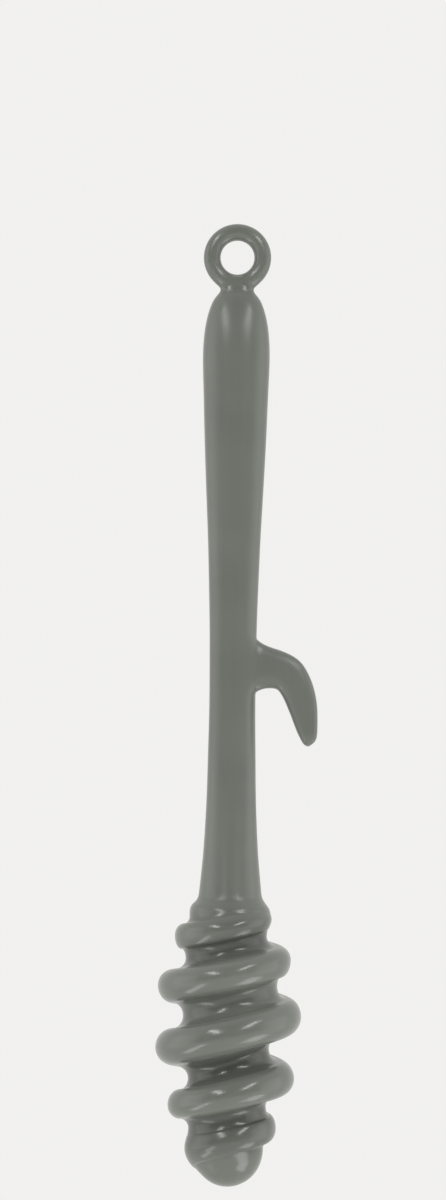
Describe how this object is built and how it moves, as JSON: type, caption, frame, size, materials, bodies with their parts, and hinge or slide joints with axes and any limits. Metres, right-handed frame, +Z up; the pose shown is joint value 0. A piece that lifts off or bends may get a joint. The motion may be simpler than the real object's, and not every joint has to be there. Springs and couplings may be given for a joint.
{
  "type": "honey dipper",
  "caption": "Long plastic honey dipper with a hanging eye, a tapered grip, a side hook that rests it on a jar's rim and a head with a rounded spiral groove.",
  "frame": {"origin": "centre of the hanging eye's hole", "axes": "+Z up along the tool's long axis, away from the dipper head; the eye's hole runs along Y; the rim hook points along +X and its tip down -Z; -Y is the front"},
  "size_m": [0.0331, 0.0305, 0.2],
  "materials": {
    "moulded_plastic": "satin moulded grey plastic"
  },
  "bodies": {
    "root": {"hanging_ring": "moulded_plastic", "handle": "moulded_plastic", "rim_hook": "moulded_plastic", "dipper_head": "moulded_plastic"}
  },
  "joints": []
}
